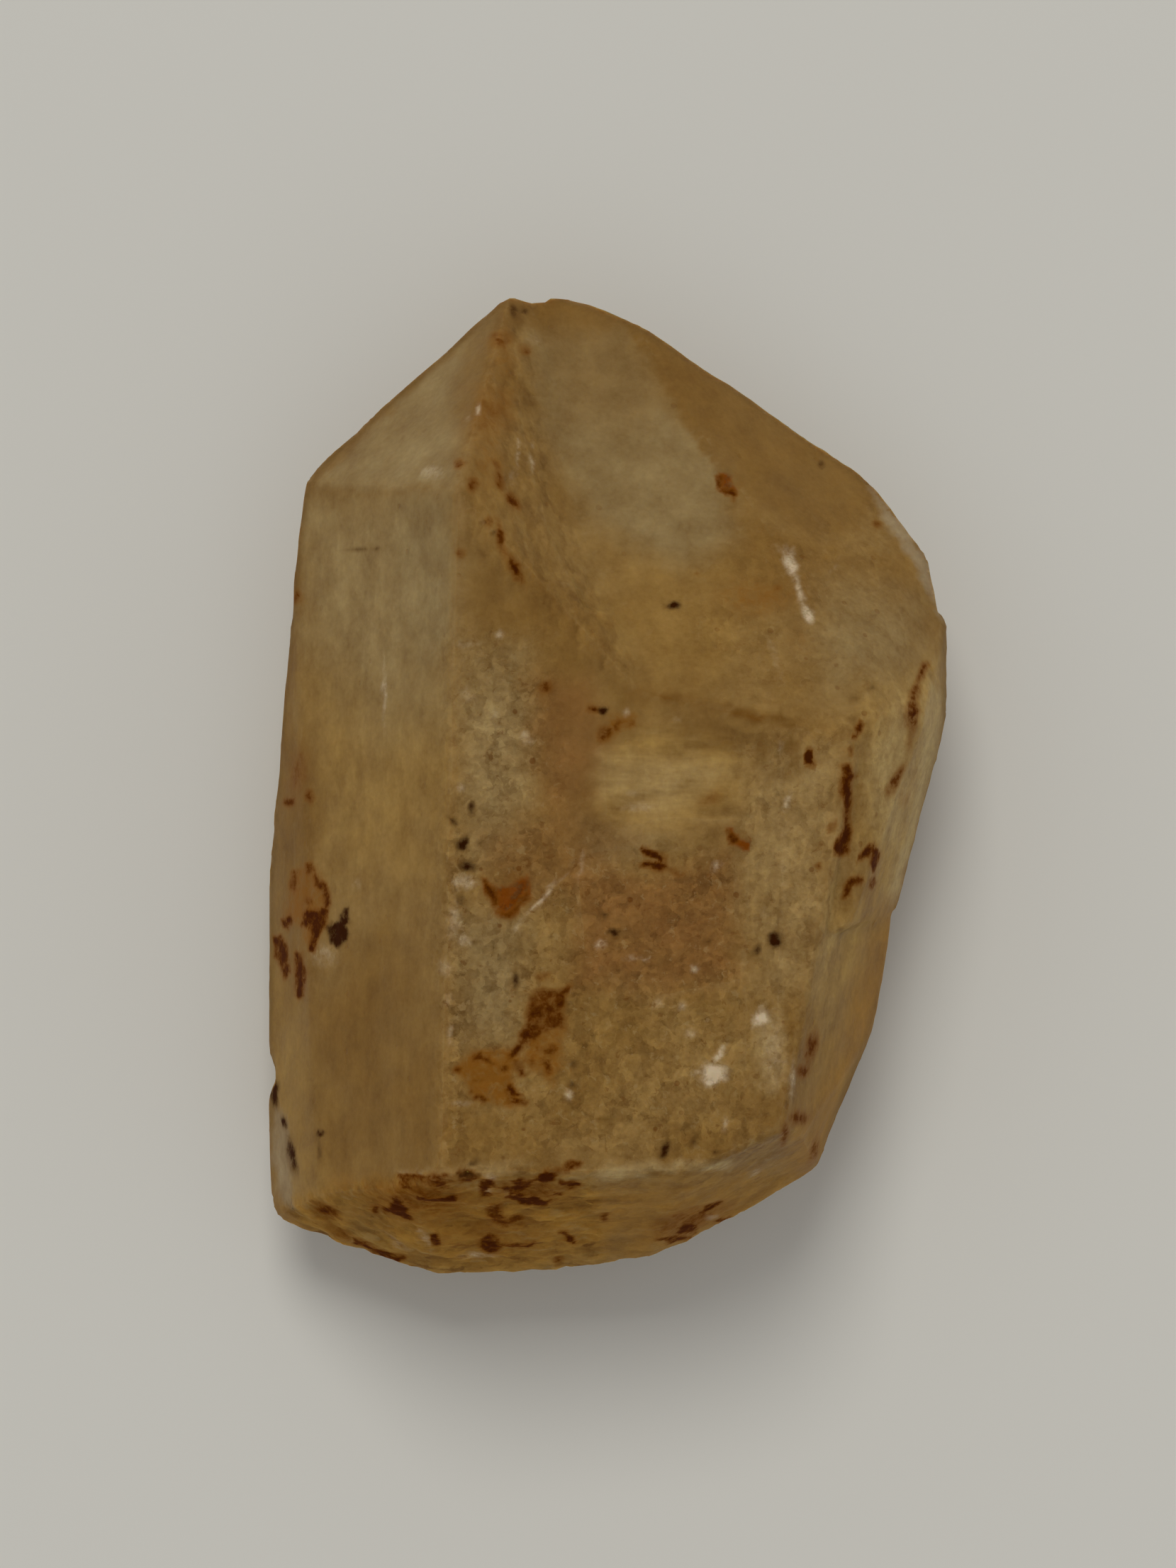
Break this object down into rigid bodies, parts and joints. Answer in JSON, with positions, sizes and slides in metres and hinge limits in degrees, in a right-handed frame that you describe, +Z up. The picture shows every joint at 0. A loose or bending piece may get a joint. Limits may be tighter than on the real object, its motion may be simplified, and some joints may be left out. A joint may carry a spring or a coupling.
{
  "type": "citrine crystal point",
  "caption": "Cloudy citrine quartz point with flat prism and tip faces, a side growth and a broken base, lying on one side.",
  "frame": {"origin": "on the surface that the crystal rests on, under the middle of its outline", "axes": "+Y along the crystal to its tip, +Z up from the face it rests on, +X across"},
  "size_m": [0.0294, 0.0422, 0.0187],
  "materials": {
    "citrine": "satin"
  },
  "bodies": {
    "root": {"citrine_crystal": "citrine"}
  },
  "joints": []
}
